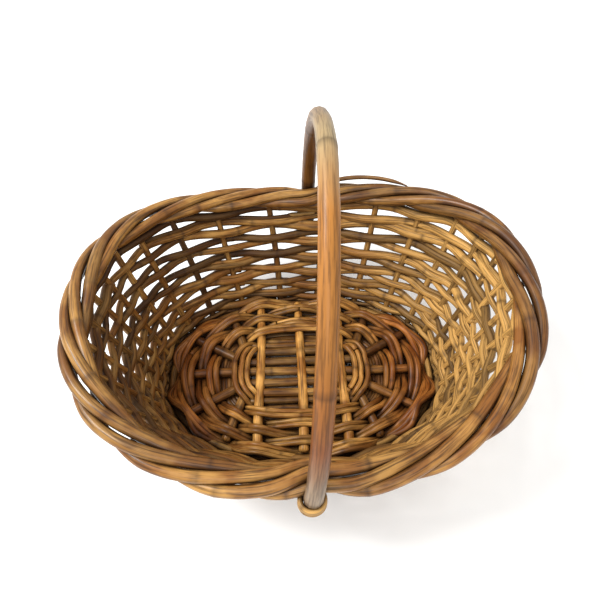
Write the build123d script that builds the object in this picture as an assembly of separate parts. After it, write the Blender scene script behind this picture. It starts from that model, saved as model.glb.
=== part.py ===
from build123d import *
import math
import os

# A woven willow market basket: an oval stake-and-strand basket with a saddle-shaped rim,
# an open-woven wall, a rolled border and one fixed bow handle.
# Frame: X along the length, Y along the width, Z up, floor at Z = 0, origin under the centre.

# ---- Driving dimensions, mm and degrees ----

rim_length = 420.0          # over the border, along X
rim_width = 346.0           # over the border, along Y
rim_height = 130.0          # floor to the middle of the border, halfway along each side
rim_rise = 38.0             # how much higher the border is at the two ends
rim_tilt = 4.0              # how much the border tilts up towards +X
rim_power = 2.31            # 2 is an ellipse, more is squarer
base_length = 302.0         # between the stake feet, along X
base_width = 206.0          # between the stake feet, along Y
base_power = 2.2
base_height = 14.0          # floor to the middle of the base sticks

handle_height = 328.0       # floor to the top of the handle
handle_diameter = 15.2
handle_outset = 10.5        # how far the legs stand outside the middle of the border
handle_front_x = 5.0        # the bow stands a little askew, as it is bent by hand
handle_top_x = 19.0
handle_back_x = 14.0
handle_narrowing = 1.3      # 1 is a half ellipse, more is narrower towards the top
handle_drop = 12.0          # how far each leg goes straight down before it leans in
handle_tuck = 44.0          # how far each leg goes down below the middle of the border

stake_diameter = 6.4
stake_count = 28            # even, so that each weave row closes on itself
stake_bunching = 0.42       # how much closer the stakes stand at the ends than at the sides
stake_top_share = 0.66      # how far the stakes end below the border's middle, in border radii
weaver_diameter = 5.2
row_count = 13
lowest_row = 0.045          # height of the lowest and highest row, as shares of the wall
highest_row = 0.88
rods_per_row = 4
joint_step = 3              # how many stakes further each row's joints are than the row below's

border_strand_diameter = 10.0
border_overlap = 3          # how many stakes each border strand passes
border_spread = 1.12        # leaves room for the strands' slant where the stakes stand close
border_start_angle = 200.0  # from the inside of the border, over the top ...
border_end_angle = -40.0    # ... to the outside
strand_end = 0.03           # how far each strand stops short at both ends, in stakes

foot_diameter = 8.0
foot_flat = 0.8             # how much is trimmed off under the foot ring

long_stick_diameter = 8.0
long_stick_count = 5
long_stick_pitch = 13.0
long_stick_fan = 28.0       # angle between the fanned ends
long_stick_straight = 62.0  # where the fan starts
long_stick_bend = 13.0      # radius of the bend there
short_stick_diameter = 10.4
short_stick_count = 3
short_stick_pitch = 46.0
base_weaver_diameter = 6.0
base_ring_count = 6
inner_ring_length = 146.0   # the innermost ring goes round the bundle of long sticks
inner_ring_width = 88.0
inner_ring_power = 2.8
outer_ring_inset = 11.5     # from the stake feet to the outermost ring

lashing_share = 0.5         # how much of the gap between two rows the tie fills
lashing_reach = 14.0        # from the leg's axis to where the tie closes inside the wall

clearance = 0.25            # between rods that lie against each other
joint_gap = 1.2             # between the butted ends of two rods

# ---- How finely the curves are followed ----

rim_steps = 2880            # for spreading the stakes round the rim
halvings = 40               # for finding where a ring crosses a stick
foot_arcs = 24
bow_arcs = 12
nearby = 0.02               # radians or stakes, for the direction in which a line runs
nearby_place = 0.001        # the same, along a rod

# ---- Values that follow ----

tip_inset = stake_diameter + weaver_diameter + 2 * clearance    # base stick ends to the stake feet
outer_sticks = (long_stick_count - 1) // 2                      # on each side of the middle one
strand_turn = (border_start_angle - border_end_angle) / border_overlap
strand_spacing = border_strand_diameter * border_spread + 2 * clearance
border_roll_radius = strand_spacing / (2 * math.sin(math.radians(strand_turn) / 2))
border_radius = border_roll_radius + border_strand_diameter / 2
stake_gap = border_radius * stake_top_share
rim_a = rim_length / 2 - border_radius
rim_b = rim_width / 2 - border_radius
base_a = base_length / 2
base_b = base_width / 2
foot_top = foot_diameter - foot_flat
row_gap = (highest_row - lowest_row) / (row_count - 1)
lashing_diameter = lashing_share * (row_gap * (rim_height - foot_top) - weaver_diameter)


def oval(a, b, power, angle):
    c, s = math.cos(angle), math.sin(angle)
    x = a * math.copysign(abs(c) ** (2 / power), c)
    y = b * math.copysign(abs(s) ** (2 / power), s)
    return Vector(x, y, 0)


def rim_z(x):
    share = x / rim_a
    return rim_height + rim_rise * share ** 2 + rim_tilt * share


def wall_point(angle, level):
    """A point of the wall's middle surface: level 0 is the stakes' foot, 1 the border."""
    top = oval(rim_a, rim_b, rim_power, angle)
    foot = oval(base_a, base_b, base_power, angle)
    top.Z = rim_z(top.X)
    foot.Z = foot_top + clearance
    return foot + (top - foot) * level


def outward(angle, level):
    """The horizontal normal of the wall, pointing away from the basket."""
    along = wall_point(angle + nearby, level) - wall_point(angle - nearby, level)
    return Vector(along.Y, -along.X, 0).normalized()


def stake_angles():
    """Angles of the stakes, spread along the rim, and closer together at the ends."""
    travel = [0.0]
    for i in range(rim_steps):
        start, end = 2 * math.pi * i / rim_steps, 2 * math.pi * (i + 1) / rim_steps
        run = (wall_point(end, 1) - wall_point(start, 1)).length
        travel.append(travel[-1] + run / (1 - stake_bunching * math.cos(start + end)))
    quarter = travel[rim_steps // 4]
    pitch = travel[-1] / stake_count
    angles = []
    for k in range(stake_count):
        wanted = (quarter + (k + 0.5) * pitch) % travel[-1]
        i = next(i for i in range(rim_steps) if travel[i + 1] > wanted)
        share = (wanted - travel[i]) / (travel[i + 1] - travel[i])
        angles.append(2 * math.pi * (i + share) / rim_steps)
    return angles


stakes = stake_angles()


def angle_at(place):
    """The angle at a place counted in stakes, so that 2.5 is halfway from stake 2 to stake 3."""
    k = math.floor(place)
    here, following = stakes[k % stake_count], stakes[(k + 1) % stake_count]
    gap = (following - here) % (2 * math.pi)
    before = (here - stakes[(k - 1) % stake_count]) % (2 * math.pi)
    after = (stakes[(k + 2) % stake_count] - following) % (2 * math.pi)
    t = place - k
    slope_here, slope_next = (before + gap) / 2, (gap + after) / 2
    bend = t * (1 - t) * ((slope_here - gap) * (1 - t) - (slope_next - gap) * t)
    return here + gap * t + bend


def biarc_edges(start, start_way, end, end_way):
    """Two tangent arcs that leave one point and reach the next along the given directions."""
    chord = end - start
    ways = start_way + end_way
    spread = 2 * (1 - start_way.dot(end_way))
    if spread < 1e-9:
        reach = chord.dot(chord) / (4 * chord.dot(start_way))
    else:
        along = chord.dot(ways)
        reach = (-along + math.sqrt(along * along + spread * chord.dot(chord))) / spread
    near, far = start + start_way * reach, end - end_way * reach
    middle, middle_way = (near + far) / 2, (far - near).normalized()
    edges = []
    for first, way, last in ((start, start_way, middle), (middle, middle_way, end)):
        straight = (last - first).normalized().cross(way).length < 1e-5
        edges.append(Edge.make_line(first, last) if straight else Edge.make_tangent_arc(first, way, last))
    return edges


def rod(line, places, diameter):
    """A round rod along line(place), through the given places, with arcs between them."""
    points = [line(p) for p in places]
    step = nearby_place if places[-1] > places[0] else -nearby_place
    ways = [(line(p + step) - line(p - step)).normalized() for p in places]
    edges = []
    for i in range(len(points) - 1):
        edges += biarc_edges(points[i], ways[i], points[i + 1], ways[i + 1])
    section = Plane(origin=points[0], z_dir=ways[0]) * Circle(diameter / 2)
    return sweep(section, path=Wire(edges))


def spaced(first, last, count):
    return [first + (last - first) * i / count for i in range(count + 1)]


def save(name, solids):
    shape = solids[0] if len(solids) == 1 else Compound(children=solids)
    export_step(shape, f"parts/{name}.step")


# ---- Wall: stakes and weave rows ----

def make_stake(k):
    foot = wall_point(stakes[k], 0)
    top = wall_point(stakes[k], 1)
    way = (top - foot).normalized()
    lean = math.hypot(way.X, way.Y) / way.Z
    start = foot + way * (stake_diameter / 2 * lean)
    end = top - way * (stake_gap / way.Z)
    return Plane(origin=start, z_dir=way) * Cylinder(
        stake_diameter / 2, (end - start).length, align=(Align.CENTER, Align.CENTER, Align.MIN))


def weave_offset(angle):
    """How far a weaver's middle stands off the wall's middle surface where it passes a stake."""
    lean = wall_point(angle, 1) - wall_point(angle, 0)
    touching = (stake_diameter + weaver_diameter) / 2 + clearance
    return touching * lean.length / lean.Z


def row_line(row):
    level = lowest_row + row_gap * row

    def line(place):
        angle = angle_at(place)
        side = math.cos(math.pi * (place + row))
        return wall_point(angle, level) + outward(angle, level) * (weave_offset(angle) * side)

    return line


def make_row(row):
    line = row_line(row)
    stakes_per_rod = stake_count // rods_per_row
    rods = []
    for part in range(rods_per_row):
        first = joint_step * row + 1 + part * stakes_per_rod
        last = first + stakes_per_rod
        pitch = (line(first + nearby) - line(first)).length / nearby
        share = joint_gap / 2 / pitch
        places = [first + share] + list(range(first + 1, last)) + [last - share]
        rods.append(rod(line, places, weaver_diameter))
    return rods


# ---- Border ----

def strand_line(k):
    def line(place):
        angle = angle_at(place)
        share = (k - place) / border_overlap
        roll = math.radians(border_start_angle + (border_end_angle - border_start_angle) * share)
        out = outward(angle, 1) * (border_roll_radius * math.cos(roll))
        up = Vector(0, 0, border_roll_radius * math.sin(roll))
        return wall_point(angle, 1) + out + up

    return line


def make_strand(k):
    line = strand_line(k)
    places = spaced(k - strand_end, k - border_overlap + strand_end, 2 * border_overlap)
    return rod(line, places, border_strand_diameter)


# ---- Base ----

def fan_lines(index, side):
    """The knee and the tip of one end of a long stick; index counts from the middle stick."""
    knee = Vector(side * long_stick_straight, index * long_stick_pitch, base_height)
    tip = oval(base_a, base_b, base_power, math.radians(index * long_stick_fan))
    inset = 1 - tip_inset / base_b
    return knee, Vector(side * tip.X * inset, tip.Y * inset, base_height)


def make_long_stick(index):
    left_knee, left_tip = fan_lines(index, -1)
    right_knee, right_tip = fan_lines(index, 1)
    if index == 0:
        path = Wire(Edge.make_line(left_tip, right_tip))
    else:
        corners = (left_tip, left_knee, right_knee, right_tip)
        path = Wire(FilletPolyline(*corners, radius=long_stick_bend).edges())
    start_way = (left_knee - left_tip).normalized()
    section = Plane(origin=left_tip, z_dir=start_way) * Circle(long_stick_diameter / 2)
    return sweep(section, path=path)


def make_short_stick(x):
    reach = base_b * (1 - (abs(x) / base_a) ** base_power) ** (1 / base_power) - tip_inset
    stick = Pos(x, 0, base_height) * Rot(90, 0, 0) * Cylinder(short_stick_diameter / 2, 2 * reach)
    slit_length = (long_stick_count - 1) * long_stick_pitch + long_stick_diameter + 2 * clearance
    slit = Pos(x, 0, base_height) * Box(
        2 * short_stick_diameter, slit_length, long_stick_diameter + 2 * clearance)
    return stick - slit


def ring_oval(ring):
    """Half length, half width and squareness of one of the base's rings, 0 the innermost."""
    share = ring / (base_ring_count - 1)
    a = inner_ring_length / 2 * (1 - share) + (base_a - outer_ring_inset) * share
    b = inner_ring_width / 2 * (1 - share) + (base_b - outer_ring_inset) * share
    return a, b, inner_ring_power * (1 - share) + base_power * share


def oval_way(point, a, b, power):
    """The direction in which an oval runs at one of its points."""
    slope_x = math.copysign((abs(point.X) / a) ** (power - 1) / a, point.X)
    slope_y = math.copysign((abs(point.Y) / b) ** (power - 1) / b, point.Y)
    return Vector(-slope_y, slope_x, 0).normalized()


def ring_crossings(ring):
    """Where a ring passes each stick end, going round from +X: point, half thickness, is long."""
    a, b, power = ring_oval(ring)
    middle_stick = (short_stick_count - 1) // 2
    crossings = []
    for index in range(-outer_sticks, outer_sticks + 1):
        knee, tip = fan_lines(index, 1)
        near, far = 0.0, 1.0
        for _ in range(halvings):
            share = (near + far) / 2
            point = knee + (tip - knee) * share
            inside = (abs(point.X) / a) ** power + (abs(point.Y) / b) ** power < 1
            near, far = (share, far) if inside else (near, share)
        crossings.append((point, long_stick_diameter / 2, True))
    for index in range(middle_stick, -middle_stick - 1, -1):
        x = index * short_stick_pitch
        y = b * (1 - (abs(x) / a) ** power) ** (1 / power)
        crossings.append((Vector(x, y, base_height), short_stick_diameter / 2, False))
    half = len(crossings)
    for point, thickness, is_long in crossings[:half]:
        crossings.append((Vector(-point.X, -point.Y, point.Z), thickness, is_long))
    return crossings


def make_base_ring(ring):
    """The two inner rings pass the bundle of long sticks in one go; the others pass each stick."""
    a, b, power = ring_oval(ring)
    crossings = ring_crossings(ring)
    lifts, angles = [], []
    for i, (point, thickness, is_long) in enumerate(crossings):
        over = (is_long == (ring == 0)) if ring < 2 else ((i + ring) % 2 == 0)
        lift = thickness + base_weaver_diameter / 2 + clearance
        lifts.append(lift if over else -lift)
        c = math.copysign(abs(point.X / a) ** (power / 2), point.X)
        s = math.copysign(abs(point.Y / b) ** (power / 2), point.Y)
        angles.append(math.atan2(s, c))
    points, ways = [], []
    for i, (point, _, _) in enumerate(crossings):
        following = (i + 1) % len(crossings)
        turn = (angles[following] - angles[i]) % (2 * math.pi)
        middle = oval(a, b, power, angles[i] + turn / 2) + Vector(0, 0, base_height)
        rise = lifts[following] - lifts[i]
        run = (crossings[following][0] - point).length
        points.append(point + Vector(0, 0, lifts[i]))
        ways.append(oval_way(point, a, b, power))
        if ring > 1:
            points.append(middle + Vector(0, 0, lifts[i] + rise / 2))
            ways.append((oval_way(middle, a, b, power) + Vector(0, 0, rise / run)).normalized())
    start = (ring % len(crossings)) * len(points) // len(crossings)
    points = points[start:] + points[:start]
    ways = ways[start:] + ways[:start]
    first = points[0] + ways[0] * joint_gap / 2
    last = points[0] - ways[0] * joint_gap / 2
    points = [first] + points[1:] + [last]
    ways = ways + [ways[0]]
    edges = []
    for i in range(len(points) - 1):
        edges += biarc_edges(points[i], ways[i], points[i + 1], ways[i + 1])
    section = Plane(origin=points[0], z_dir=ways[0]) * Circle(base_weaver_diameter / 2)
    return sweep(section, path=Wire(edges))


def make_foot_ring():
    """The rod that the stakes stand on, trimmed flat below so that the basket doesn't rock."""
    middle = foot_diameter / 2 - foot_flat

    def line(angle):
        return oval(base_a, base_b, base_power, angle) + Vector(0, 0, middle)

    share = joint_gap / 2 / base_a
    places = [share] + spaced(0, 2 * math.pi, foot_arcs)[1:-1] + [2 * math.pi - share]
    ring = rod(line, places, foot_diameter)
    below = Box(
        2 * base_length, 2 * base_width, foot_diameter, align=(Align.CENTER, Align.CENTER, Align.MAX))
    return ring - below


# ---- Handle ----

def handle_line(place):
    """The bow's middle line: -1 to 0 is the front leg in the wall, 0 to 1 the bow, 1 to 2 the back leg."""
    top = handle_height - handle_diameter / 2 - rim_height
    reach = rim_b + handle_outset
    if 0 <= place <= 1:
        swing = math.pi * place
        c, s = math.cos(swing), math.sin(swing)
        y = -reach * math.copysign(abs(c) ** handle_narrowing, c)
        foot_x = handle_front_x if place < 0.5 else handle_back_x
        return Vector(foot_x + (handle_top_x - foot_x) * s, y, rim_height + top * s)
    down = handle_tuck * (-place if place < 0 else place - 1)
    wall_lean = (rim_b - base_b) / (rim_height - foot_top)
    lean = wall_lean * max(0, down - handle_drop) ** 2 / (2 * (handle_tuck - handle_drop))
    side, foot_x = (-1, handle_front_x) if place < 0 else (1, handle_back_x)
    return Vector(foot_x, side * (reach - lean), rim_height - down)


def make_handle(diameter):
    bow = spaced(0, 1, bow_arcs)
    drop = handle_drop / handle_tuck
    places = [-1, -(1 + drop) / 2, -drop] + bow + [1 + drop, 1 + (1 + drop) / 2, 2]
    return rod(handle_line, places, diameter)


def make_lashing(side):
    """A tie round a leg of the handle, through the gap below the top row, closed inside the wall."""
    level = highest_row - row_gap / 2
    foot_x = handle_front_x if side < 0 else handle_back_x
    down = rim_height - foot_top - (rim_z(foot_x) - foot_top) * level
    place = -down / handle_tuck if side < 0 else 1 + down / handle_tuck
    centre = handle_line(place)
    turn = (handle_diameter + lashing_diameter) / 2 + clearance
    inward = Vector(0, -side, 0)
    across = Vector(1, 0, 0)
    run_in = centre + inward * lashing_reach

    def line(part):
        if part < 1:
            swing = math.pi / 2 * part
            return run_in + inward * (turn * math.cos(swing)) + across * (turn * math.sin(swing))
        if part < 2:
            return run_in + across * turn + (centre - run_in) * (part - 1)
        if part < 3:
            swing = math.pi * (part - 2)
            return centre + across * (turn * math.cos(swing)) - inward * (turn * math.sin(swing))
        if part < 4:
            return centre - across * turn + (run_in - centre) * (part - 3)
        swing = math.pi / 2 * (part - 4)
        return run_in - across * (turn * math.cos(swing)) + inward * (turn * math.sin(swing))

    share = joint_gap / 2 / turn
    return rod(line, [share, 1, 2, 2.5, 3, 4, 5 - share], lashing_diameter)


# ---- All the pieces ----

os.makedirs("parts", exist_ok=True)

for index in range(long_stick_count):
    save(f"base_long_stick_{index + 1}", [make_long_stick(index - outer_sticks)])
for index in range(short_stick_count):
    x = (index - (short_stick_count - 1) / 2) * short_stick_pitch
    save(f"base_short_stick_{index + 1}", [make_short_stick(x)])
for ring in range(base_ring_count):
    save(f"base_ring_{ring + 1}", [make_base_ring(ring)])
save("foot_ring", [make_foot_ring()])

quarters = ("back_left", "front_left", "front_right", "back_right")
stakes_each = stake_count // len(quarters)
for number, quarter in enumerate(quarters):
    save(f"stakes_{quarter}", [make_stake(number * stakes_each + k) for k in range(stakes_each)])
for row in range(row_count):
    save(f"weave_row_{row + 1:02}", make_row(row))

handle_room = make_handle(handle_diameter + 2 * clearance)
for number, quarter in enumerate(quarters):
    pieces = []
    for k in range(number * stakes_each, (number + 1) * stakes_each):
        strand = make_strand(k)
        near = strand.bounding_box().min.X < handle_room.bounding_box().max.X
        near = near and strand.bounding_box().max.X > handle_room.bounding_box().min.X
        pieces += (strand - handle_room).solids() if near else [strand]
    save(f"border_strands_{quarter}", pieces)

save("handle_bow", [make_handle(handle_diameter)])
save("handle_lashing_front", [make_lashing(-1)])
save("handle_lashing_back", [make_lashing(1)])
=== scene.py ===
"""A woven willow market basket with a rolled border and one bow handle, laid rod by rod."""

import bisect
import functools
import math
import random

import bpy
from mathutils import Matrix, Vector, noise


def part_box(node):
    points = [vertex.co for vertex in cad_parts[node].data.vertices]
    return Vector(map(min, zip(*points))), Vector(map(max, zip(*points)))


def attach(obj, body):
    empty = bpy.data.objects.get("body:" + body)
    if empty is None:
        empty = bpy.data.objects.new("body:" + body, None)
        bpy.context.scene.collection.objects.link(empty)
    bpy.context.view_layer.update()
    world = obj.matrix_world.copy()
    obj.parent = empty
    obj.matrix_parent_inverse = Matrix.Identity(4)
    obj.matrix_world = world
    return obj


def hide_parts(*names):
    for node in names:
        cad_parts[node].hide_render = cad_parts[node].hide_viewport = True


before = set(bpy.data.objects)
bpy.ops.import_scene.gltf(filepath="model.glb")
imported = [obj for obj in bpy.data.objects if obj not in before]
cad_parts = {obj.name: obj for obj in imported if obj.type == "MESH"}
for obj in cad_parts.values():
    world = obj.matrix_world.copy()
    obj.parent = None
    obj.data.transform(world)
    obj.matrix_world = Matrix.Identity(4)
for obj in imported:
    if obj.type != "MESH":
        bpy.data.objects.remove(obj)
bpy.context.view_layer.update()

bl_info = {
    "name": "Willow Market Basket",
    "version": (1, 0, 0),
    "blender": (4, 5, 0),
    "location": "View3D > Sidebar > Basket",
    "description": "Weaves an oval willow basket over its packed frame",
    "category": "Add Mesh",
}

SIDES = 12                      # corners round a rod, as a bevel resolution of 4 gives


# ---- Sizes and colours that a user would change ----

def length(name, description, default):
    return bpy.props.FloatProperty(name=name, description=description, default=default, unit="LENGTH")


def colour(name, description, default):
    return bpy.props.FloatVectorProperty(
        name=name, description=description, default=default, subtype="COLOR", size=3, min=0, max=1)


class BasketSizes(bpy.types.PropertyGroup):
    rim_length: length("Rim length", "Length over the border", 0.420)
    rim_width: length("Rim width", "Width over the border", 0.346)
    rim_height: length("Rim height", "Floor to the middle of the border, halfway along a side", 0.130)
    rim_rise: length("Rim rise", "How much higher the border is at the two ends", 0.038)
    rim_tilt: length("Rim tilt", "How much the border tilts up towards +X", 0.004)
    foot_top: length("Foot top", "Height where the stakes start", 0.00745)
    base_height: length("Base height", "Floor to the middle of the base sticks", 0.014)
    stake: length("Stake thickness", "Thickness of the upright rods", 0.0070)
    weaver: length("Weaver thickness", "Thickness of the rods woven round the wall", 0.0078)
    strand: length("Border strand", "Thickness of the rods rolled into the border", 0.0112)
    border_roll: length("Border roll", "Middle of the border to the middle of its strands", 0.0090)
    short_stick: length("Short stick", "Thickness of the sticks across the base", 0.0104)
    long_stick: length("Long stick", "Thickness of the sticks along the base", 0.0106)
    base_weaver: length("Base weaver", "Thickness of the rods woven round the base", 0.0058)
    handle: length("Handle thickness", "Thickness of the bow at its feet", 0.0152)
    handle_top: length("Handle top thickness", "Thickness of the bow at its top", 0.0142)
    tie: length("Tie thickness", "Thickness of the ties round the handle's legs", 0.0044)


class BasketColours(bpy.types.PropertyGroup):
    pale: colour("Pale willow", "Where the stain has worn thin", (0.66, 0.34, 0.085))
    amber: colour("Amber willow", "The stain's usual colour", (0.27, 0.105, 0.018))
    # also the colour of the painted shade that ambient occlusion lays in the gaps and creases
    dark: colour("Dark stain", "Where the stain has pooled", (0.022, 0.008, 0.003))
    # also turns the wall tan towards +X, partly the rods' own colour and partly painted light
    tan: colour("Tan willow", "Older, drier rods", (0.70, 0.39, 0.11))
    floor: colour("Floor", "The plain pale floor", (0.97, 0.97, 0.96))


def sizes():
    return bpy.context.scene.basket_sizes


def colours():
    return bpy.context.scene.basket_colours


# ---- The basket's own geometry, in metres ----

def oval(a, b, power, angle):
    c, s = math.cos(angle), math.sin(angle)
    x = a * math.copysign(abs(c) ** (2 / power), c)
    y = b * math.copysign(abs(s) ** (2 / power), s)
    return Vector((x, y, 0))


class Wall:
    """The wall's middle surface, from the stakes' feet to the middle of the border."""

    rim_power = 2.31
    base_power = 2.2
    stake_count = 28
    stake_bunching = 0.42       # how much closer the stakes stand at the ends than at the sides
    foot_radius = 0.004
    nearby = 0.02               # radians, for the direction in which the wall runs
    steps = 1440                # for measuring round the rim

    def __init__(self):
        size = sizes()
        border_radius = size.border_roll + size.strand / 2
        self.rim_a = size.rim_length / 2 - border_radius
        self.rim_b = size.rim_width / 2 - border_radius
        foot_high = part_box("foot_ring")[1]
        self.base_a = foot_high.x - self.foot_radius
        self.base_b = foot_high.y - self.foot_radius
        self.even = self.spread(0)
        self.bunched = self.spread(self.stake_bunching)
        self.stakes = [self.angle_at(k) for k in range(self.stake_count)]

    def point(self, angle, level):
        size = sizes()
        top = oval(self.rim_a, self.rim_b, self.rim_power, angle)
        foot = oval(self.base_a, self.base_b, self.base_power, angle)
        share = top.x / self.rim_a
        top.z = size.rim_height + size.rim_rise * share ** 2 + size.rim_tilt * share
        foot.z = size.foot_top
        return foot + (top - foot) * level

    def outward(self, angle, level):
        along = self.point(angle + self.nearby, level) - self.point(angle - self.nearby, level)
        return Vector((along.y, -along.x, 0)).normalized()

    def lean(self, angle):
        rise = self.point(angle, 1) - self.point(angle, 0)
        return rise.length / rise.z

    def spread(self, bunching):
        """How far round the rim each angle is, with travel counted less at the two ends."""
        travel = [0.0]
        before = self.point(0, 1)
        for i in range(self.steps):
            start, end = math.tau * i / self.steps, math.tau * (i + 1) / self.steps
            here = self.point(end, 1)
            travel.append(travel[-1] + (here - before).length / (1 - bunching * math.cos(start + end)))
            before = here
        return travel

    def angle_of(self, travel, share):
        """The angle a share of the way round, starting from the middle of the back."""
        wanted = (travel[self.steps // 4] + share * travel[-1]) % travel[-1]
        i = min(bisect.bisect_right(travel, wanted), self.steps) - 1
        part = (wanted - travel[i]) / (travel[i + 1] - travel[i])
        return math.tau * (i + part) / self.steps

    def angle_at(self, place):
        """The angle at a place counted in stakes, so that 2.5 is halfway from stake 2 to stake 3."""
        return self.angle_of(self.bunched, (place + 0.5) / self.stake_count)


@functools.cache
def wall():
    return Wall()


# ---- Willow rods ----

class Rod:
    """One willow rod: where it runs, how thick it is there, and what it looks like."""

    def __init__(self, points, butt, tip, seed, knot_spacing=0.075, blunt=0.25, slim=(0.0, 0.0)):
        luck = random.Random(seed)
        knot_reach = 0.0022
        self.points = points
        self.tone = luck.random()
        self.seed = seed
        self.radii = []
        self.along = [0.0]
        for i in range(1, len(points)):
            self.along.append(self.along[-1] + (points[i] - points[i - 1]).length)
        total = self.along[-1]
        knots = []
        place = luck.uniform(0.2, 0.9) * knot_spacing
        while place < total:
            knots.append(place)
            place += knot_spacing * luck.uniform(0.6, 1.5)
        self.knots = []
        for travel in self.along:
            share = travel / total
            radius = (butt + (tip - butt) * share) / 2
            radius *= 1 + 0.04 * noise.noise(Vector((travel * 60, seed * 3.1, 0)))
            near = min((abs(travel - knot) for knot in knots), default=1)
            swell = math.exp(-(near / knot_reach) ** 2)
            self.knots.append(swell)
            edge = min(travel, total - travel)
            rounding = math.sqrt(max(0.0, 1 - (1 - min(1, edge / (blunt * butt))) ** 2))
            for run, reach in zip((travel, total - travel), slim):
                if run < reach:
                    part = run / reach
                    radius *= 0.4 + 0.6 * part * part * (3 - 2 * part)
            self.radii.append(radius * (1 + 0.05 * swell) * max(rounding, 0.02))


def follow(line, first, last, step, thickness, rough=60):
    """Points along line(place), close together at both ends so that they can be rounded.

    rough is how many straight bits the line is measured in."""
    places = [first + (last - first) * i / rough for i in range(rough + 1)]
    spots = [line(p) for p in places]
    travel = [0.0]
    for i in range(rough):
        travel.append(travel[-1] + (spots[i + 1] - spots[i]).length)
    total = travel[-1]
    ends = [0.0, 0.02 * thickness, 0.08 * thickness, 0.25 * thickness]
    count = max(2, round((total - 2 * ends[-1]) / step))
    middle = [ends[-1] + (total - 2 * ends[-1]) * i / count for i in range(1, count)]
    wanted = ends + middle + [total - e for e in reversed(ends)]
    points, i = [], 0
    for distance in wanted:
        while i < rough - 1 and travel[i + 1] < distance:
            i += 1
        share = (distance - travel[i]) / max(travel[i + 1] - travel[i], 1e-9)
        points.append(line(places[i] + (places[i + 1] - places[i]) * min(max(share, 0), 1)))
    return points


def lay_rods(name, rods, finish, nodes):
    """Lays rods as one bevelled curve, turns it into a mesh, and writes each rod's grain on it."""
    bpy.ops.object.select_all(action="DESELECT")
    bpy.ops.curve.primitive_nurbs_path_add(location=(0, 0, 0))
    piece = bpy.context.object
    piece.name = piece.data.name = name
    curve = piece.data
    curve.splines.clear()
    curve.dimensions = "3D"
    curve.bevel_depth = 1.0
    curve.bevel_resolution = 4
    for rod in rods:
        spline = curve.splines.new("POLY")
        spline.points.add(len(rod.points) - 1)
        for spot, point, radius in zip(spline.points, rod.points, rod.radii):
            spot.co = (*point, 1)
            spot.radius = radius
    bpy.ops.object.convert(target="MESH")
    mesh = piece.data
    grain_values, look_values = [], []
    for rod in rods:
        for travel, knot in zip(rod.along, rod.knots):
            for side in range(SIDES):
                turn = math.tau * side / SIDES
                grain_values += (travel + rod.seed * 0.37, 0.004 * math.cos(turn), 0.004 * math.sin(turn))
            look_values += (rod.tone, knot, travel / rod.along[-1]) * SIDES
    mesh.attributes.new("grain", "FLOAT_VECTOR", "POINT").data.foreach_set("vector", grain_values)
    mesh.attributes.new("rod_look", "FLOAT_VECTOR", "POINT").data.foreach_set("vector", look_values)
    bpy.ops.object.mode_set(mode="EDIT")
    bpy.ops.mesh.select_all(action="SELECT")
    bpy.ops.mesh.remove_doubles(threshold=0.00012)
    bpy.ops.mesh.select_all(action="DESELECT")
    bpy.ops.mesh.select_non_manifold()
    bpy.ops.mesh.edge_face_add()
    bpy.ops.mesh.select_all(action="SELECT")
    bpy.ops.mesh.normals_make_consistent(inside=False)
    bpy.ops.object.mode_set(mode="OBJECT")
    bpy.ops.object.shade_smooth()
    piece.data.materials.clear()
    piece.data.materials.append(finish)
    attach(piece, "root")
    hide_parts(*nodes)
    return piece


# ---- Willow finish ----

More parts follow.
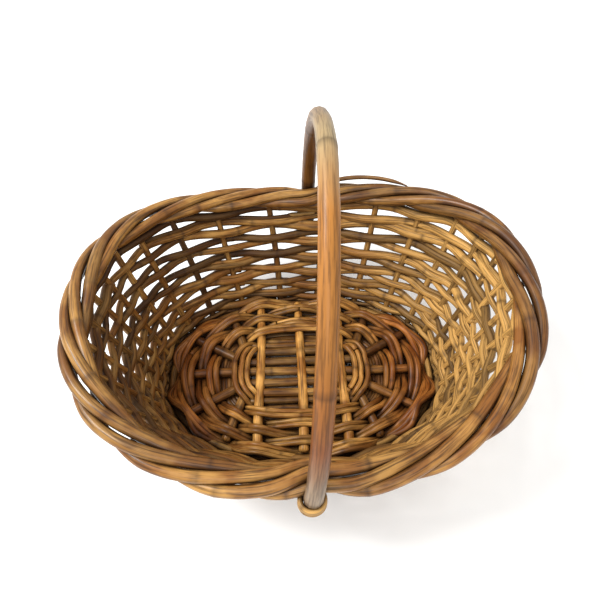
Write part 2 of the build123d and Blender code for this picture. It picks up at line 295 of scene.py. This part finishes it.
def willow(name, pale, amber, dark, darkness, gloss, varnish=0.15, streaky=0.7, pooling_and_shade=(0.86, 0.28),
           across=None, along=None):
    """Stained and varnished willow: streaks along the grain, dark knots, pools of stain in the gaps, and
    painted shade that darkens the gaps and creases.

    pooling_and_shade is how open to the light a spot is where the pools of stain and the painted shade
    start, and where they are darkest, across is (from x, to x, colour, both ways, mode) for a change along
    the basket, and along is a list of (share of the rod, colour)."""
    finish = bpy.data.materials.get(name)
    if finish:
        return finish
    finish = bpy.data.materials.new(name)
    finish.use_nodes = True
    tree = finish.node_tree
    shader = tree.nodes["Principled BSDF"]

    def node(kind, **settings):
        made = tree.nodes.new(kind)
        for key, value in settings.items():
            setattr(made, key, value)
        return made

    def link(source, target):
        tree.links.new(source, target)

    def streaks(scale, detail, stretch):
        mapping = node("ShaderNodeMapping")
        mapping.inputs["Scale"].default_value = (stretch, 1, 1)
        link(grain.outputs["Vector"], mapping.inputs["Vector"])
        texture = node("ShaderNodeTexNoise")
        texture.inputs["Scale"].default_value = scale
        texture.inputs["Detail"].default_value = detail
        texture.inputs["Roughness"].default_value = 0.6
        link(mapping.outputs["Vector"], texture.inputs["Vector"])
        return texture.outputs["Fac"]

    def ramp(source, low, high):
        made = node("ShaderNodeMapRange", clamp=True)
        made.inputs["From Min"].default_value = low
        made.inputs["From Max"].default_value = high
        link(source, made.inputs["Value"])
        return made.outputs["Result"]

    def blend(amount, first, second, mode="MIX"):
        made = node("ShaderNodeMix", data_type="RGBA", blend_type=mode)
        link(amount, made.inputs["Factor"])
        for socket, value in ((made.inputs["A"], first), (made.inputs["B"], second)):
            if isinstance(value, bpy.types.NodeSocket):
                link(value, socket)
            else:
                socket.default_value = (*value, 1)
        return made.outputs["Result"]

    def times(first, second):
        made = node("ShaderNodeMath", operation="MULTIPLY")
        for socket, value in zip(made.inputs, (first, second)):
            if isinstance(value, bpy.types.NodeSocket):
                link(value, socket)
            else:
                socket.default_value = value
        return made.outputs["Value"]

    grain = node("ShaderNodeAttribute", attribute_name="grain")
    look = node("ShaderNodeAttribute", attribute_name="rod_look")
    split = node("ShaderNodeSeparateXYZ")
    link(look.outputs["Vector"], split.inputs["Vector"])
    tone, knot = split.outputs["X"], split.outputs["Y"]

    fine = streaks(900, 4, 0.035)
    blotch = streaks(45, 3, 0.5)
    stain = blend(ramp(blotch, 0.42, 0.62), amber, pale)
    if along:
        colours_along = node("ShaderNodeValToRGB")
        stops = colours_along.color_ramp.elements
        while len(stops) < len(along):
            stops.new(0.5)
        for stop, (share, tint) in zip(stops, along):
            stop.position = share
            stop.color = (*tint, 1)
        link(split.outputs["Z"], colours_along.inputs["Fac"])
        stain = blend(times(ramp(blotch, 0.30, 0.70), 0.35), colours_along.outputs["Color"], amber)
    if across:
        start, end, tint, both_ways, mode = across
        where = node("ShaderNodeTexCoord")
        sides = node("ShaderNodeSeparateXYZ")
        link(where.outputs["Object"], sides.inputs["Vector"])
        reach = sides.outputs["X"]
        if both_ways:
            size = node("ShaderNodeMath", operation="ABSOLUTE")
            link(reach, size.inputs[0])
            reach = size.outputs["Value"]
        stain = blend(ramp(reach, start, end), stain, tint, mode)
    stain = blend(times(ramp(fine, 0.46, 0.62), streaky), stain, dark)
    stain = blend(times(ramp(tone, 0.35, 1.0), darkness), stain, dark)
    stain = blend(times(knot, 0.6), stain, dark)
    # Painted shade: ambient occlusion darkens gaps, creases and the deep base towards the dark colour, for
    # shade as well as pools of stain.
    gaps = node("ShaderNodeAmbientOcclusion", samples=8)
    gaps.inputs["Distance"].default_value = 0.02
    pooled_and_shaded = ramp(gaps.outputs["AO"], *pooling_and_shade)
    stain = blend(times(pooled_and_shaded, 0.92), stain, dark)
    link(stain, shader.inputs["Base Color"])

    rough = node("ShaderNodeMapRange")
    rough.inputs["To Min"].default_value = gloss
    rough.inputs["To Max"].default_value = gloss + 0.25
    link(fine, rough.inputs["Value"])
    link(rough.outputs["Result"], shader.inputs["Roughness"])
    bump = node("ShaderNodeBump")
    bump.inputs["Strength"].default_value = 0.35
    bump.inputs["Distance"].default_value = 0.0004
    link(fine, bump.inputs["Height"])
    link(bump.outputs["Normal"], shader.inputs["Normal"])
    shader.inputs["Specular IOR Level"].default_value = 0.2
    shader.inputs["Coat Weight"].default_value = varnish
    shader.inputs["Coat Roughness"].default_value = 0.25
    return finish


def border_finish():
    tint = colours()
    # Towards +X the border is multiplied darker and browner: painted shade on the side away from the key
    # lamp.
    return willow("border_willow", tint.pale * 0.68, tint.amber * 0.84, tint.dark, 0.6, 0.3, 0.25,
                  pooling_and_shade=(0.9, 0.35), across=(0.04, 0.18, (1.0, 0.92, 0.86), False, "MULTIPLY"))


def wall_finish():
    tint = colours()
    # Towards +X the wall turns tan: partly the rods' own colour and partly painted light where the key lamp
    # from -X lights the wall's inner face.
    return willow("wall_willow", tint.pale * 0.62, tint.amber * 0.85, tint.dark, 0.8, 0.45, 0.04,
                  pooling_and_shade=(0.76, 0.2), across=(0.05, 0.17, tint.tan, False, "MIX"))


def base_finish(name="base_willow", strength=1.0, darkness=0.5):
    tint = colours()
    return willow(name, tint.pale * strength, tint.amber * strength, tint.dark, darkness, 0.3, 0.08,
                  pooling_and_shade=(0.72, 0.14), across=(0.05, 0.11, (0.82, 0.58, 0.46), True, "MULTIPLY"))


def short_stick_finish():
    return base_finish("short_stick_willow", 1.25, 0.1)


def long_stick_finish():
    return base_finish("long_stick_willow", 0.62, 0.5)


def handle_finish():
    tint = colours()
    grey, red, light = Vector((0.23, 0.17, 0.105)), Vector((0.19, 0.055, 0.014)), Vector((0.42, 0.17, 0.032))
    # Along the bow from the front foot: grey, red, amber, paler at the top, then darker browns down the back
    # leg, which are painted shade on the leg's shaded inside.
    bow = [(0.0, grey), (0.11, grey), (0.18, red), (0.29, tint.amber * 1.2), (0.42, light),
           (0.50, Vector((0.38, 0.29, 0.15))), (0.60, Vector((0.20, 0.12, 0.045))), (0.72, tint.amber * 0.5),
           (1.0, tint.amber * 0.4)]
    return willow("handle_willow", tint.pale, tint.amber, tint.dark, 0.0, 0.34, streaky=0.5, along=bow)


def tie_finish():
    tint = colours()
    return willow("tie_willow", tint.tan * 0.85, tint.tan * 0.55, tint.dark, 0.2, 0.4)


# ---- Base ----

class BaseFrame:
    """The sticks of the base and where its rings cross them."""

    long_count = 5
    long_pitch = 0.013
    fan = math.radians(28)
    knee = 0.062                # where the long sticks start to fan out
    bend = 0.010
    short_count = 3
    short_pitch = 0.046
    ring_count = 6
    inner_a, inner_b, inner_power = 0.070, 0.044, 2.8
    outer_inset = 0.0115
    tip_inset = 0.0095
    halvings = 40               # for finding where a ring crosses a stick

    def __init__(self):
        self.wall = wall()
        self.inset = 1 - self.tip_inset / self.wall.base_b

    def fan_line(self, index, side):
        height = sizes().base_height
        knee = Vector((side * self.knee, index * self.long_pitch, height))
        here = self.wall
        tip = oval(here.base_a, here.base_b, here.base_power, index * self.fan) * self.inset
        return knee, Vector((side * tip.x, tip.y, height))

    def long_stick(self, index):
        left_knee, left_tip = self.fan_line(index, -1)
        right_knee, right_tip = self.fan_line(index, 1)
        corners = [left_tip, left_knee, right_knee, right_tip]
        return smooth_route(corners, self.bend)

    def short_reach(self, x):
        here = self.wall
        share = (1 - (abs(x) / here.base_a) ** here.base_power) ** (1 / here.base_power)
        return here.base_b * share - self.tip_inset

    def ring_oval(self, ring):
        share = ring / (self.ring_count - 1)
        a = self.inner_a * (1 - share) + (self.wall.base_a - self.outer_inset) * share
        b = self.inner_b * (1 - share) + (self.wall.base_b - self.outer_inset) * share
        return a, b, self.inner_power * (1 - share) + self.wall.base_power * share

    def crossings(self, ring):
        """Where a ring passes each stick end, going round from +X, and whether the stick is long."""
        a, b, power = self.ring_oval(ring)
        outer, middle = self.long_count // 2, self.short_count // 2
        found = []
        for index in range(-outer, outer + 1):
            knee, tip = self.fan_line(index, 1)
            if (knee.x / a) ** power + (abs(knee.y) / b) ** power >= 1:
                x = a * (1 - (abs(knee.y) / b) ** power) ** (1 / power)
                found.append((Vector((x, knee.y, knee.z)), True))
                continue
            near, far = 0.0, 1.0
            for _ in range(self.halvings):
                share = (near + far) / 2
                point = knee.lerp(tip, share)
                inside = (abs(point.x) / a) ** power + (abs(point.y) / b) ** power < 1
                near, far = (share, far) if inside else (near, share)
            found.append((point, True))
        for index in range(middle, -middle - 1, -1):
            x = index * self.short_pitch
            y = b * (1 - (abs(x) / a) ** power) ** (1 / power)
            found.append((Vector((x, y, sizes().base_height)), False))
        half = [(Vector((-p.x, -p.y, p.z)), is_long) for p, is_long in found]
        return found + half


def smooth_route(corners, roundness, bits=8):
    """A function of 0 to 1 that runs through corners with their turns rounded off."""
    points = [corners[0]]
    for before, corner, after in zip(corners, corners[1:], corners[2:]):
        cut_in = corner + (before - corner).normalized() * roundness
        cut_out = corner + (after - corner).normalized() * roundness
        for i in range(bits + 1):
            t = i / bits
            points.append(cut_in * (1 - t) ** 2 + corner * 2 * t * (1 - t) + cut_out * t ** 2)
    points.append(corners[-1])
    travel = [0.0]
    for first, second in zip(points, points[1:]):
        travel.append(travel[-1] + (second - first).length)

    def line(share):
        distance = share * travel[-1]
        i = max(k for k in range(len(points) - 1) if travel[k] <= distance + 1e-9)
        return points[i].lerp(points[i + 1], (distance - travel[i]) / max(travel[i + 1] - travel[i], 1e-9))

    return line


def curve_through(points):
    """A smooth closed function of place through points, with place 1 at the second point."""
    count = len(points)

    def line(place):
        k = math.floor(place)
        t = place - k
        p = [points[(k + i) % count] for i in (-1, 0, 1, 2)]
        span = (p[2] - p[1]).length
        way_1 = (p[2] - p[0]).normalized() * span
        way_2 = (p[3] - p[1]).normalized() * span
        return (p[1] * (2 * t ** 3 - 3 * t ** 2 + 1) + way_1 * (t ** 3 - 2 * t ** 2 + t)
                + p[2] * (3 * t ** 2 - 2 * t ** 3) + way_2 * (t ** 3 - t ** 2))

    return line


class BASKET_OT_base_sticks(bpy.types.Operator):
    """Lay the long and short sticks of the base"""

    bl_idname = "basket.base_sticks"
    bl_label = "Base Sticks"

    filler = 0.0074                                         # thinner rods beside the outermost sticks:
    fillers = ((1.32, 0.001, 0.057), (1.6, 0.005, 0.05))    # share of their distance, depth, half length

    def execute(self, context):
        size, base = sizes(), BaseFrame()
        for number in range(base.long_count):
            line = base.long_stick(number - base.long_count // 2)
            sway = random.Random(number).uniform(-0.0012, 0.0012)

            def swayed(share, line=line, sway=sway):
                return line(share) + Vector((0, sway * math.sin(math.tau * share), 0))

            points = follow(swayed, 0, 1, 0.003, size.long_stick)
            rods = [Rod(points, size.long_stick, size.long_stick * 0.92, 100 + number)]
            if number in (0, base.long_count - 1):
                for beside, (outset, depth, reach) in enumerate(self.fillers):
                    y = (number - base.long_count // 2) * base.long_pitch * outset
                    ends = [Vector((x, y, size.base_height - depth)) for x in (-reach, reach)]
                    points = follow(lambda share: ends[0].lerp(ends[1], share), 0, 1, 0.004, self.filler)
                    rods.append(Rod(points, self.filler, self.filler * 0.92, 110 + number + 20 * beside))
            lay_rods(f"long_stick_{number + 1}", rods, long_stick_finish(),
                     [f"base_long_stick_{number + 1}"])
        for number in range(base.short_count):
            x = (number - base.short_count // 2) * base.short_pitch
            reach = base.short_reach(x)
            height = size.base_height + 0.0012

            def bowed(share, x=x, reach=reach, height=height):
                bow = 0.0015 * math.sin(math.pi * share)
                sway = 0.0012 * math.sin(5 * share + x * 40)
                return Vector((x + sway, reach * (2 * share - 1), height + bow))

            points = follow(bowed, 0, 1, 0.003, size.short_stick)
            rod = Rod(points, size.short_stick * 1.04, size.short_stick * 0.94, 120 + number)
            lay_rods(f"short_stick_{number + 1}", [rod], short_stick_finish(),
                     [f"base_short_stick_{number + 1}"])
        return {"FINISHED"}


class BASKET_OT_base_rings(bpy.types.Operator):
    """Weave the rings of the base, two rods side by side in each"""

    bl_idname = "basket.base_rings"
    bl_label = "Base Rings"

    offsets = {0: (-0.72, -0.25, 0.25), 5: (-0.25, 0.25, 0.64)}     # the rings with a third rod
    under, under_height = 0.0062, 0.0062    # plain rods that close the base from below

    def ring_line(self, base, ring, offset):
        """A rod beside a ring's middle line, offset by a share of the rings' pitch."""
        size = sizes()
        place = ring + offset
        a, b, power = base.ring_oval(place)
        path, angles, lifts = [], [], []
        crossings = base.crossings(place)
        for i, (point, is_long) in enumerate(crossings):
            thickness = size.long_stick if is_long else size.short_stick
            over = (is_long == (ring == 0)) if ring < 2 else (i + ring) % 2 == 0
            lift = (thickness + size.base_weaver) / 2 * 0.9
            lifts.append(lift if over else -lift)
            c = math.copysign(abs(point.x / a) ** (power / 2), point.x)
            s = math.copysign(abs(point.y / b) ** (power / 2), point.y)
            angles.append(math.atan2(s, c))
        for i, (point, _) in enumerate(crossings):
            following = (i + 1) % len(crossings)
            turn = (angles[following] - angles[i]) % math.tau
            path.append(point + Vector((0, 0, lifts[i])))
            middle = oval(a, b, power, angles[i] + turn / 2)
            wander = 0.0012 * noise.noise(Vector((i * 3.3, ring * 5.1, offset * 4)))
            middle *= 1 + wander / b
            middle.z = size.base_height + (lifts[i] + lifts[following]) / 2
            path.append(middle)
        return curve_through(path), len(path)

    def execute(self, context):
        size, base = sizes(), BaseFrame()
        for ring in range(base.ring_count):
            rods = []
            offsets = self.offsets.get(ring, (-0.25, 0.25))
            for number, offset in enumerate(offsets):
                line, count = self.ring_line(base, ring, offset)
                start = 3 * ring + 7 * number
                thick = size.base_weaver
                points = follow(line, start, start + count - 0.02, 0.003, thick, rough=160)
                rod = Rod(points, thick * 1.08, thick * 0.94, 200 + 10 * ring + number)
                for i, point in enumerate(rod.points):
                    rod.radii[i] *= 0.92 + 0.36 * min(1, abs(point.x) / 0.11) ** 2
                rods.append(rod)
            for number, offset in enumerate((-0.6, 0.0, 0.5) if ring == 0 else (0.0, 0.5)):
                if ring + offset > base.ring_count - 1:
                    break
                a, b, power = base.ring_oval(ring + offset)

                def under(turn, a=a, b=b, power=power):
                    return oval(a, b, power, turn) + Vector((0, 0, self.under_height))

                start = ring + number
                points = follow(under, start, start + math.tau - 0.02, 0.005, self.under, rough=160)
                rods.append(Rod(points, self.under, self.under * 0.96, 260 + 10 * ring + number))
            lay_rods(f"base_ring_{ring + 1}_rods", rods, base_finish(),
                     [f"base_ring_{ring + 1}"])
        return {"FINISHED"}


# ---- Wall ----

QUARTERS = ("back_left", "front_left", "front_right", "back_right")


def weave_line(row, level, thickness, tightness=0.48, wander=0.014):
    """A rod woven in and out of the stakes at a level of the wall, wandering a little up and down.

    tightness is how far it goes round each stake, less at the two ends of the basket."""
    def line(place):
        angle = wall().angle_at(place)
        off = (sizes().stake + thickness) / 2 * wall().lean(angle) * tightness
        off *= 1 - 0.5 * math.cos(angle) ** 2
        side = math.cos(math.pi * (place + row))
        round_it = Vector((2.2 * math.cos(angle), 2.2 * math.sin(angle), 0))
        together = noise.noise(round_it + Vector((0, 0, 9)))
        alone = noise.noise(round_it * 2 + Vector((0, 0, row * 1.7)))
        here = level + wander * (together + alone)
        return wall().point(angle, here) + wall().outward(angle, here) * (off * side)

    return line


class BASKET_OT_foot(bpy.types.Operator):
    """Lay the foot ring, a rod inside it that closes the corner, and two rods woven tight above it"""

    bl_idname = "basket.foot"
    bl_label = "Foot"

    def execute(self, context):
        here, thick, woven = wall(), 0.0071, 0.0048
        height = thick / 2 + 0.0001

        def ring(turn):
            return oval(here.base_a, here.base_b, here.base_power, turn) + Vector((0, 0, height))

        def filler(turn):
            inset = Vector((0.007 * math.cos(turn), 0.007 * math.sin(turn), -0.004))
            return ring(turn) - inset

        rods = [Rod(follow(ring, 0.02, math.tau + 0.01, 0.004, thick), thick, thick * 0.97, 280),
                Rod(follow(filler, 0.5, math.tau + 0.49, 0.004, thick), thick * 1.3, thick * 1.2, 284)]
        for number in range(2):
            line = weave_line(number, 0.012 + 0.022 * number, woven, wander=0.002)
            points = follow(line, 0.1, here.stake_count + 0.05, 0.004, woven, rough=280)
            rods.append(Rod(points, 0.0051, 0.0046, 281 + number))
        lay_rods("foot_rods", rods, wall_finish(), ["foot_ring"])
        return {"FINISHED"}


class BASKET_OT_stakes(bpy.types.Operator):
    """Stand the stakes round the base, a quarter of the wall at a time"""

    bl_idname = "basket.stakes"
    bl_label = "Stakes"

    def execute(self, context):
        size, each = sizes(), wall().stake_count // len(QUARTERS)
        for number, quarter in enumerate(QUARTERS):
            rods = []
            for k in range(number * each, (number + 1) * each):
                sway = random.Random(k).uniform(-1, 1) * 0.0022

                def line(level, angle=wall().stakes[k], sway=sway):
                    along = wall().outward(angle, level).cross(Vector((0, 0, 1)))
                    return wall().point(angle, level) + along * (sway * math.sin(3.4 * level))

                points = follow(line, 0.0, 0.965, 0.003, size.stake, rough=20)
                rods.append(Rod(points, size.stake * 1.1, size.stake * 0.95, 300 + k))
            lay_rods(f"side_stakes_{quarter}", rods, wall_finish(), [f"stakes_{quarter}"])
        return {"FINISHED"}


class BASKET_OT_weave_rows(bpy.types.Operator):
    """Weave the open rows of the wall, with the rods' ends on the outside"""

    bl_idname = "basket.weave_rows"
    bl_label = "Weave Rows"

    row_count = 13
    lowest, highest = 0.062, 0.895
    spread = 1.12               # above 1 the rows lie closer together lower down
    pairing = -0.007            # every second row lies closer to the row below it
    doubled = 0.9               # how many of the rods have a second, thinner rod beside them
    beside, shorter = 0.034, 2.1    # how far above it lies, and how many stakes shorter it is at each end
    top_growth = 1.15           # how much thicker the two top rows are
    back_growth = 0.25          # how much thicker the rods are at the back
    joints = (0, 6, 14, 20, 28)     # where a row's rods meet, counted in stakes
    tail = 0.22                 # how far each rod goes past its joint

    def execute(self, context):
        size = sizes()
        for row in range(self.row_count):
            level = self.lowest + (self.highest - self.lowest) * (row / (self.row_count - 1)) ** self.spread
            level += self.pairing if row % 2 else -self.pairing
            rods = []
            for part, (first, last) in enumerate(zip(self.joints, self.joints[1:])):
                luck = random.Random(row * 10 + part)
                growth = self.top_growth if row >= self.row_count - 2 else 1
                thick = size.weaver * luck.uniform(0.82, 1.12) * growth
                line = weave_line(row, level, size.weaver)
                start, end = 3 * row + first - self.tail, 3 * row + last + self.tail
                rough = 10 * (last - first)
                points = follow(line, start, end, 0.003, size.weaver, rough)
                rod = Rod(points, thick * 1.06, thick * 0.88, 400 + 10 * row + part, slim=(0, 0.015))
                for i, point in enumerate(rod.points):
                    rod.radii[i] *= 1 + self.back_growth * min(1, max(0, point.y / 0.12))
                rods.append(rod)
                open_end = math.cos(wall().angle_at((start + end) / 2)) < -0.5
                if luck.random() < self.doubled and 0 < row < self.row_count - 1 and not open_end:
                    beside = weave_line(row, level + self.beside, size.weaver)
                    first_place, last_place = start + self.shorter, end - self.shorter
                    points = follow(beside, first_place, last_place, 0.003, size.weaver, rough)
                    seed = 700 + 10 * row + part
                    rods.append(Rod(points, thick * 0.8, thick * 0.6, seed, slim=(0.01, 0.02)))
            lay_rods(f"randing_{row + 1:02}", rods, wall_finish(),
                     [f"weave_row_{row + 1:02}"])
        return {"FINISHED"}


# ---- Border ----

class BASKET_OT_border(bpy.types.Operator):
    """Roll the border, each strand going from inside the wall over the top to the outside"""

    bl_idname = "basket.border"
    bl_label = "Border"

    strand_count = 20
    flatness = 0.66             # height of the border's section against its width
    overlap = 4.1               # how many strands lie side by side
    start_roll, end_roll = math.radians(238), math.radians(-72)
    give, give_width = 0.006, 0.022     # how far the border gives way inwards at the handle's legs

    def middle(self, angle):
        """The border's middle line, which gives way at the handle's legs."""
        point, out = wall().point(angle, 1), wall().outward(angle, 1)
        leg_x = BASKET_OT_handle.front_x if point.y < 0 else BASKET_OT_handle.back_x
        near = math.exp(-((point.x - leg_x) / self.give_width) ** 2) if abs(point.y) > 0.1 else 0
        return point - out * (self.give * near), out

    def strand_line(self, k):
        luck = random.Random(k + 900)
        loose = luck.uniform(-0.0005, 0.0007)
        early = luck.uniform(-8, 8)

        def line(share):
            angle = wall().angle_of(wall().even, (k - share * self.overlap) / self.strand_count)
            middle, out = self.middle(angle)
            roll = self.start_roll + (self.end_roll - self.start_roll) * share + math.radians(early)
            reach = sizes().border_roll + loose * math.sin(math.pi * share)
            reach *= 1 - 0.22 * max(0, abs(2 * share - 1) - 0.55) / 0.45
            up = Vector((0, 0, self.flatness * reach * math.sin(roll)))
            return middle + out * (reach * math.cos(roll)) + up

        return line

    def stray_line(self, share):
        """The thin rod that bulges out of the border at the back."""
        angle = wall().angle_of(wall().even, -0.019 - 0.085 * share)
        middle, out = self.middle(angle)
        reach = 0.0105 + 0.0068 * math.sin(math.pi * share) ** 0.8
        return middle + out * (reach * 0.78) + Vector((0, 0, reach * 0.75))

    def execute(self, context):
        size = sizes()
        each = self.strand_count // len(QUARTERS)
        for number, quarter in enumerate(QUARTERS):
            rods = []
            for k in range(number * each, (number + 1) * each):
                thick = size.strand * random.Random(k + 40).uniform(0.9, 1.02)
                points = follow(self.strand_line(k), 0, 1, 0.0035, size.strand)
                rods.append(Rod(points, thick, thick * 0.92, 500 + k, 0.13, slim=(0.03, 0.06)))
            if quarter == "back_right":
                points = follow(self.stray_line, 0, 1, 0.003, 0.004)
                rods.append(Rod(points, 0.0052, 0.0042, 560, slim=(0.01, 0.02)))
            lay_rods(f"border_{quarter}", rods, border_finish(),
                     [f"border_strands_{quarter}"])
        return {"FINISHED"}


# ---- Handle ----

class BASKET_OT_handle(bpy.types.Operator):
    """Bend the bow handle"""

    bl_idname = "basket.handle"
    bl_label = "Handle"

    outset = 0.0105
    front_x, top_x, back_x = 0.005, 0.019, 0.014
    narrowing = 1.3                 # 1 is a half ellipse, more is narrower towards the top
    drop, tuck = 0.012, 0.044       # how far a leg goes straight down, and down in all
    wall_lean = 0.463               # how far the wall leans out for each step up

    @classmethod
    def line(cls, place):
        """The bow's middle line: -1 to 0 is the front leg, 0 to 1 the bow, 1 to 2 the back leg."""
        size = sizes()
        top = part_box("handle_bow")[1].z - size.handle / 2 - size.rim_height
        reach = wall().rim_b + cls.outset
        if 0 <= place <= 1:
            c, s = math.cos(math.pi * place), math.sin(math.pi * place)
            foot_x = cls.front_x if place < 0.5 else cls.back_x
            y = -reach * math.copysign(abs(c) ** cls.narrowing, c)
            return Vector((foot_x + (cls.top_x - foot_x) * s, y, size.rim_height + top * s))
        down = cls.tuck * (-place if place < 0 else place - 1)
        lean = cls.wall_lean * max(0, down - cls.drop) ** 2 / (2 * (cls.tuck - cls.drop))
        side, foot_x = (-1, cls.front_x) if place < 0 else (1, cls.back_x)
        return Vector((foot_x, side * (reach - lean), size.rim_height - down))

    def execute(self, context):
        size = sizes()
        points = follow(self.line, -1, 2, 0.003, size.handle, rough=120)
        rod = Rod(points, size.handle, size.handle, 600, knot_spacing=0.11, blunt=0.2)
        total = rod.along[-1]
        for i, travel in enumerate(rod.along):
            slim = math.sin(math.pi * travel / total) ** 2
            rod.radii[i] *= 1 - (1 - size.handle_top / size.handle) * slim
        lay_rods("bow", [rod], handle_finish(), ["handle_bow"])
        return {"FINISHED"}


class BASKET_OT_ties(bpy.types.Operator):
    """Tie the handle's two legs to the wall"""

    bl_idname = "basket.ties"
    bl_label = "Ties"

    def execute(self, context):
        size = sizes()
        leg = BASKET_OT_handle.line(-0.2)
        turn = (size.handle + size.tie) / 2 * 0.9

        def coil(place):
            swing = math.tau * place
            drift = Vector((-0.001, 0, 0.0034 * (place - 1)))
            return leg + drift + Vector((turn * 1.06 * math.cos(swing), turn * math.sin(swing), 0))

        points = follow(coil, 0.1, 3.1, 0.0015, size.tie, rough=140)
        lay_rods("front_tie", [Rod(points, size.tie * 1.1, size.tie * 0.95, 610)], tie_finish(),
                 ["handle_lashing_front"])

        leg = BASKET_OT_handle.line(1.52)
        inside, outside = -0.019, turn
        corners = [(-0.010, outside * 0.4, 0.012), (-0.013, inside * 0.4, 0.011), (0.006, inside, 0.010),
                   (-0.008, inside - 0.001, 0.006), (-0.025, inside - 0.001, 0.000),
                   (-0.010, inside - 0.003, -0.006), (0.010, inside - 0.002, -0.010),
                   (0.013, inside * 0.4, -0.008), (0.010, outside * 0.7, -0.003), (0, outside, 0),
                   (-0.010, outside * 0.6, 0.004), (-0.013, 0, 0.006)]
        path = [leg + Vector(corner) for corner in corners]
        points = follow(curve_through(path), 2, len(path) + 0.6, 0.0015, size.tie, rough=120)
        lay_rods("back_tie", [Rod(points, size.tie * 1.15, size.tie, 620)], tie_finish(),
                 ["handle_lashing_back"])
        return {"FINISHED"}


# ---- Stage ----

class BASKET_OT_stage(bpy.types.Operator):
    """Set the plain floor, the soft lights and the camera"""

    bl_idname = "basket.stage"
    bl_label = "Stage"

    def execute(self, context):
        bpy.ops.object.select_all(action="DESELECT")
        bpy.ops.mesh.primitive_plane_add(size=8, location=(0, 0, 0))
        floor = bpy.context.object
        floor.name = "floor"
        white = bpy.data.materials.new("pale_floor")
        white.use_nodes = True
        shader = white.node_tree.nodes["Principled BSDF"]
        shader.inputs["Base Color"].default_value = (*colours().floor, 1)
        shader.inputs["Roughness"].default_value = 0.9
        floor.data.materials.append(white)

        world = bpy.data.worlds.new("studio")
        world.use_nodes = True
        world.node_tree.nodes["Background"].inputs["Color"].default_value = (1, 1, 1, 1)
        world.node_tree.nodes["Background"].inputs["Strength"].default_value = 0.95
        context.scene.world = world
        self.lamp("key", (-0.9, 0.0, 1.45), 0.5, 24)
        self.lamp("front", (-0.2, -1.2, 1.3), 0.8, 7)
        self.camera(context)
        context.scene.view_settings.view_transform = "Standard"
        return {"FINISHED"}

    def lamp(self, name, place, size, power):
        bpy.ops.object.light_add(type="AREA", location=place)
        lamp = bpy.context.object
        lamp.name = name
        lamp.data.size = size
        lamp.data.energy = power
        lamp.rotation_euler = Vector(place).to_track_quat("Z", "Y").to_euler()

    def camera(self, context):
        bpy.ops.object.camera_add(location=(-0.0047, -0.2772, 0.5340))
        camera = bpy.context.object
        camera.name = "camera"
        turn, down, tip = math.radians(0.99), math.radians(53.6), math.radians(-0.91)
        ahead = Vector((math.sin(turn) * math.cos(down), math.cos(turn) * math.cos(down), -math.sin(down)))
        right = Vector((math.cos(turn), -math.sin(turn), 0))
        up = right.cross(ahead)
        right, up = right * math.cos(tip) + up * math.sin(tip), up * math.cos(tip) - right * math.sin(tip)
        frame_axes = Matrix((right, up, -ahead)).transposed()
        camera.rotation_euler = frame_axes.to_euler()
        camera.data.sensor_width = 36
        camera.data.lens = 31.2
        camera.data.clip_start = 0.01
        context.scene.camera = camera


OPERATORS = (BASKET_OT_base_sticks, BASKET_OT_base_rings, BASKET_OT_foot, BASKET_OT_stakes,
             BASKET_OT_weave_rows, BASKET_OT_border, BASKET_OT_handle, BASKET_OT_ties, BASKET_OT_stage)


class BASKET_PT_panel(bpy.types.Panel):
    """Lists the basket's sizes, colours and steps"""

    bl_label = "Willow Basket"
    bl_idname = "BASKET_PT_panel"
    bl_space_type = "VIEW_3D"
    bl_region_type = "UI"
    bl_category = "Basket"

    def draw(self, context):
        for group in (context.scene.basket_sizes, context.scene.basket_colours):
            for key in group.__annotations__:
                self.layout.prop(group, key)
        for operator in OPERATORS:
            self.layout.operator(operator.bl_idname)


CLASSES = (BasketSizes, BasketColours, *OPERATORS, BASKET_PT_panel)


def register():
    for item in CLASSES:
        bpy.utils.register_class(item)
    bpy.types.Scene.basket_sizes = bpy.props.PointerProperty(type=BasketSizes)
    bpy.types.Scene.basket_colours = bpy.props.PointerProperty(type=BasketColours)


def unregister():
    del bpy.types.Scene.basket_colours
    del bpy.types.Scene.basket_sizes
    for item in reversed(CLASSES):
        bpy.utils.unregister_class(item)


def main():
    register()
    for operator in OPERATORS:
        group, step = operator.bl_idname.split(".")
        getattr(getattr(bpy.ops, group), step)()


if __name__ == "__main__":
    main()
